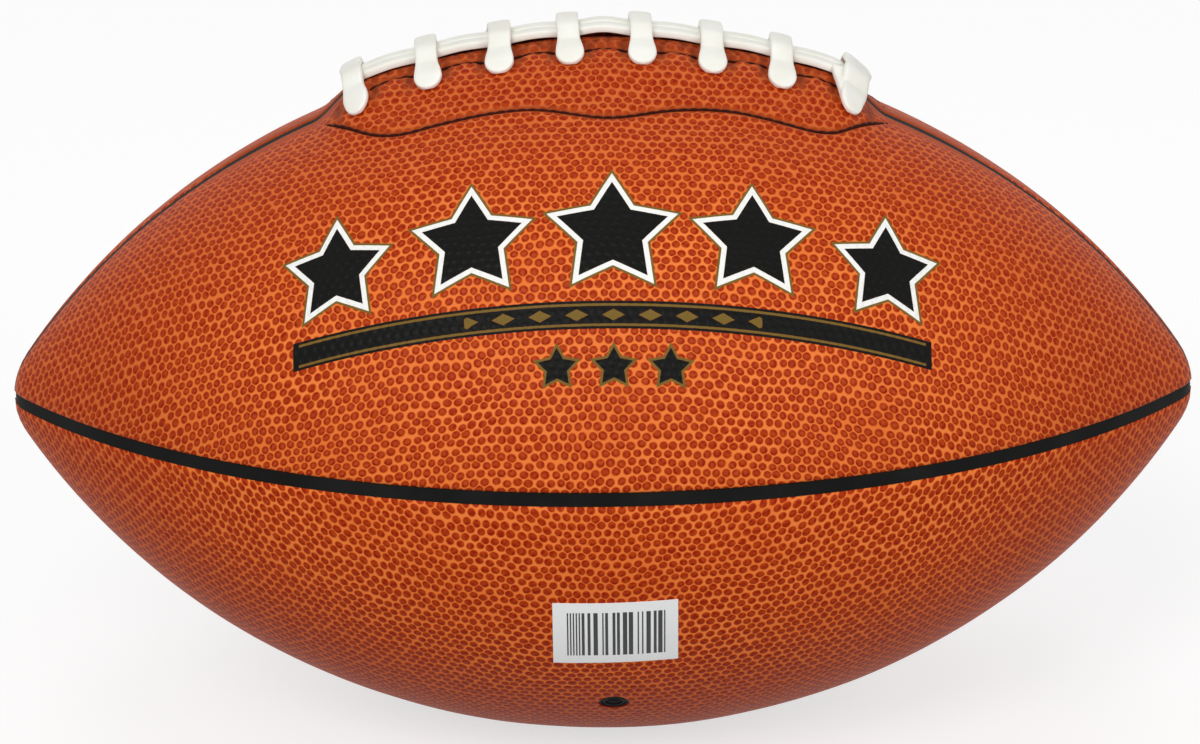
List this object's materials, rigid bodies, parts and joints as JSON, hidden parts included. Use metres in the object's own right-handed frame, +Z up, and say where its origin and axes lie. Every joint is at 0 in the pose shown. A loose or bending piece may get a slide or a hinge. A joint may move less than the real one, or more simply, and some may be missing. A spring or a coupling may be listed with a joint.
{
  "type": "american football",
  "caption": "Inflatable prolate ball with a pebbled composite cover, black seam strips, a raised white lacing for grip and a self-sealing needle valve.",
  "frame": {"origin": "the ball's centre, on the long axis midway between the tips; the raised lacing makes the part's box reach further up than down", "axes": "+X along the ball from the left tip to the right tip, +Y to the back, +Z up through the middle of the lacing; the valve and the label are on the lower front panel"},
  "size_m": [0.2836, 0.164, 0.1747],
  "materials": {
    "cover": "pebbled composite leather, dark pebbles in a bright orange net, satin",
    "seam_rubber": "smooth black rubber, satin",
    "lining_cloth": "plain woven cotton laminate",
    "lace_vinyl": "off-white vinyl strap, soft satin",
    "bladder_rubber": "butyl rubber, matt",
    "valve_rubber": "moulded black rubber, satin",
    "label_film": "white paper-like film, satin"
  },
  "bodies": {
    "root": {"panel_top_front": "cover", "panel_top_back": "cover", "panel_bottom_front": "cover", "panel_bottom_back": "cover", "seam_strip_front": "seam_rubber", "seam_strip_back": "seam_rubber", "seam_strip_bottom": "seam_rubber", "seam_strip_top_left": "seam_rubber", "seam_strip_top_right": "seam_rubber", "lining_top_front": "lining_cloth", "lining_top_back": "lining_cloth", "lining_bottom_front": "lining_cloth", "lining_bottom_back": "lining_cloth", "lace_stay_front": "lining_cloth", "lace_stay_back": "lining_cloth", "lace_tongue": "lining_cloth", "lace": "lace_vinyl", "bladder": "bladder_rubber", "valve_patch": "bladder_rubber", "valve_body": "valve_rubber", "valve_plug": "valve_rubber", "label": "label_film"}
  },
  "joints": []
}
